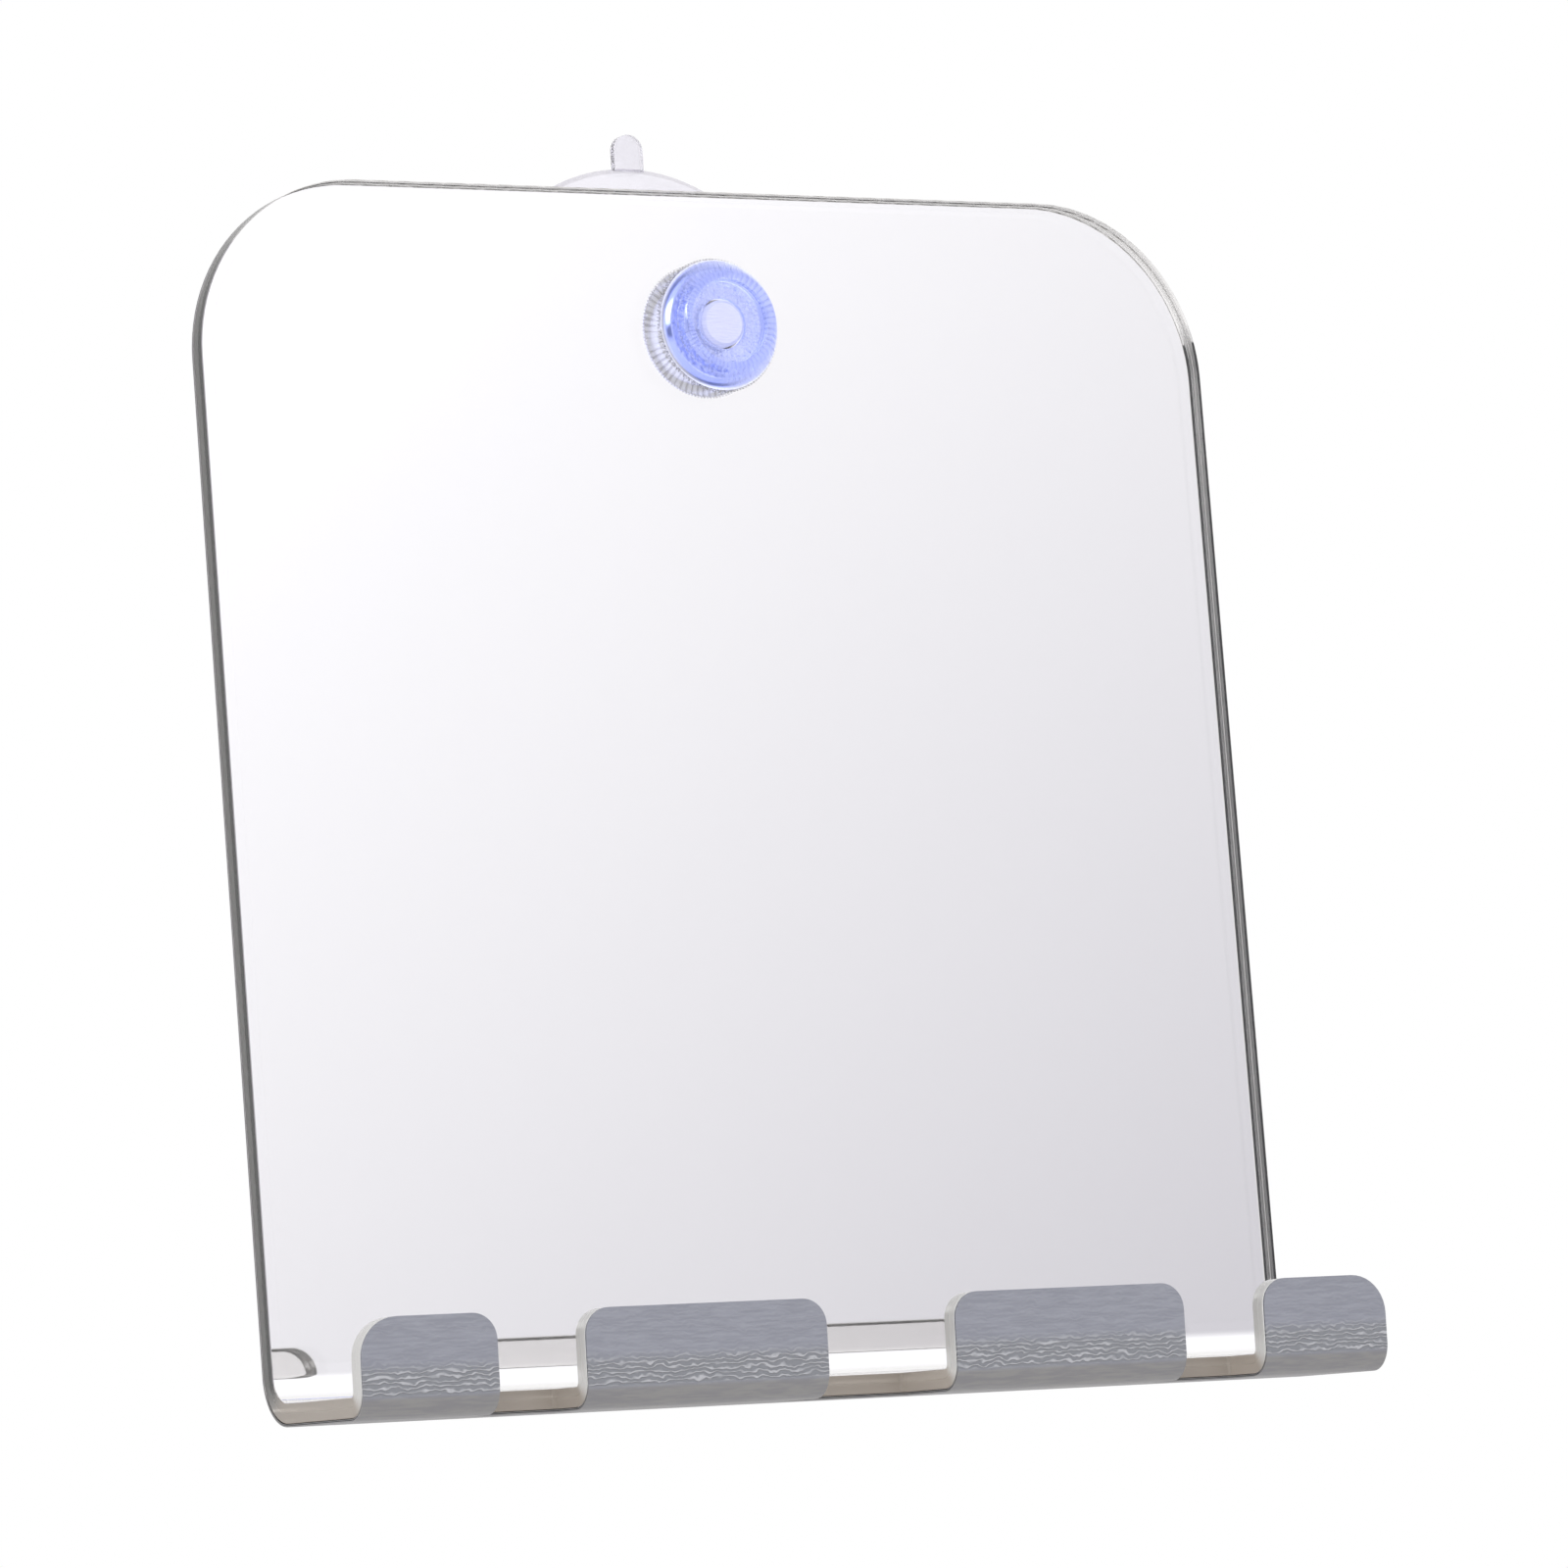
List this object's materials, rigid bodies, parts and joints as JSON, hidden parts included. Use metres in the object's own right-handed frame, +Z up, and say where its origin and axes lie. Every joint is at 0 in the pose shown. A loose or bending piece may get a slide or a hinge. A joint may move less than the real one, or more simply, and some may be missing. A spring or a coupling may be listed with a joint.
{
  "type": "fogless shower mirror",
  "caption": "Small acrylic shower mirror bent into a slotted razor tray at its foot, held to the tiles by a clear suction cup, a stud and a blue thumb nut.",
  "frame": {"origin": "on the axis of the stud, in the plane where the rim of the suction cup meets the wall", "axes": "+X to the viewer's right along the width of the mirror, +Z up, +Y into the wall, so the mirror faces -Y"},
  "size_m": [0.178, 0.0561, 0.2055],
  "materials": {
    "clear_vinyl": "soft clear vinyl with a faint lavender tint, glossy",
    "clear_nylon": "translucent, moulded, faintly streaked end",
    "clear_acrylic": "clear, polished faces and finely sawn edges",
    "mirror_film": "bright mirror behind the acrylic",
    "grey_backing_paint": "bluish grey paint, crazed where the sheet is bent",
    "fog_free_coating": "clear thin film",
    "clear_polycarbonate": "clear, toothed rim",
    "blue_polycarbonate": "translucent blue, glossy, with a fine grain in the recess"
  },
  "bodies": {
    "wall_cup": {"suction_cup": "clear_vinyl"},
    "stud": {"threaded_stud": "clear_nylon"},
    "mirror": {"mirror_sheet": "clear_acrylic", "reflective_film": "mirror_film", "grey_coat": "grey_backing_paint", "fog_free_film": "fog_free_coating"},
    "washer": {"clamp_washer": "clear_polycarbonate"},
    "nut": {"thumb_nut": "blue_polycarbonate"}
  },
  "joints": [
    {"name": "cup_press", "type": "slide", "parent": "wall_cup", "child": "stud", "axis": [0, 1, 0], "range_m": [0, 0.0065], "stiffness_N_per_m": 2500, "deforming": ["suction_cup"]},
    {"name": "mirror_swivel", "type": "hinge", "parent": "stud", "child": "mirror", "pos_m": [0, 0, 0], "axis": [0, -1, 0], "continuous": true},
    {"name": "nut_travel", "type": "slide", "parent": "stud", "child": "washer", "axis": [0, -1, 0], "range_m": [0, 0.0015]},
    {"name": "nut_turn", "type": "hinge", "parent": "washer", "child": "nut", "pos_m": [0, 0, 0], "axis": [0, -1, 0], "range_deg": [0, 433]}
  ],
  "couplings": [
    {"joint": "nut_turn", "follows": "nut_travel", "rad_per_m": 5026.5}
  ]
}
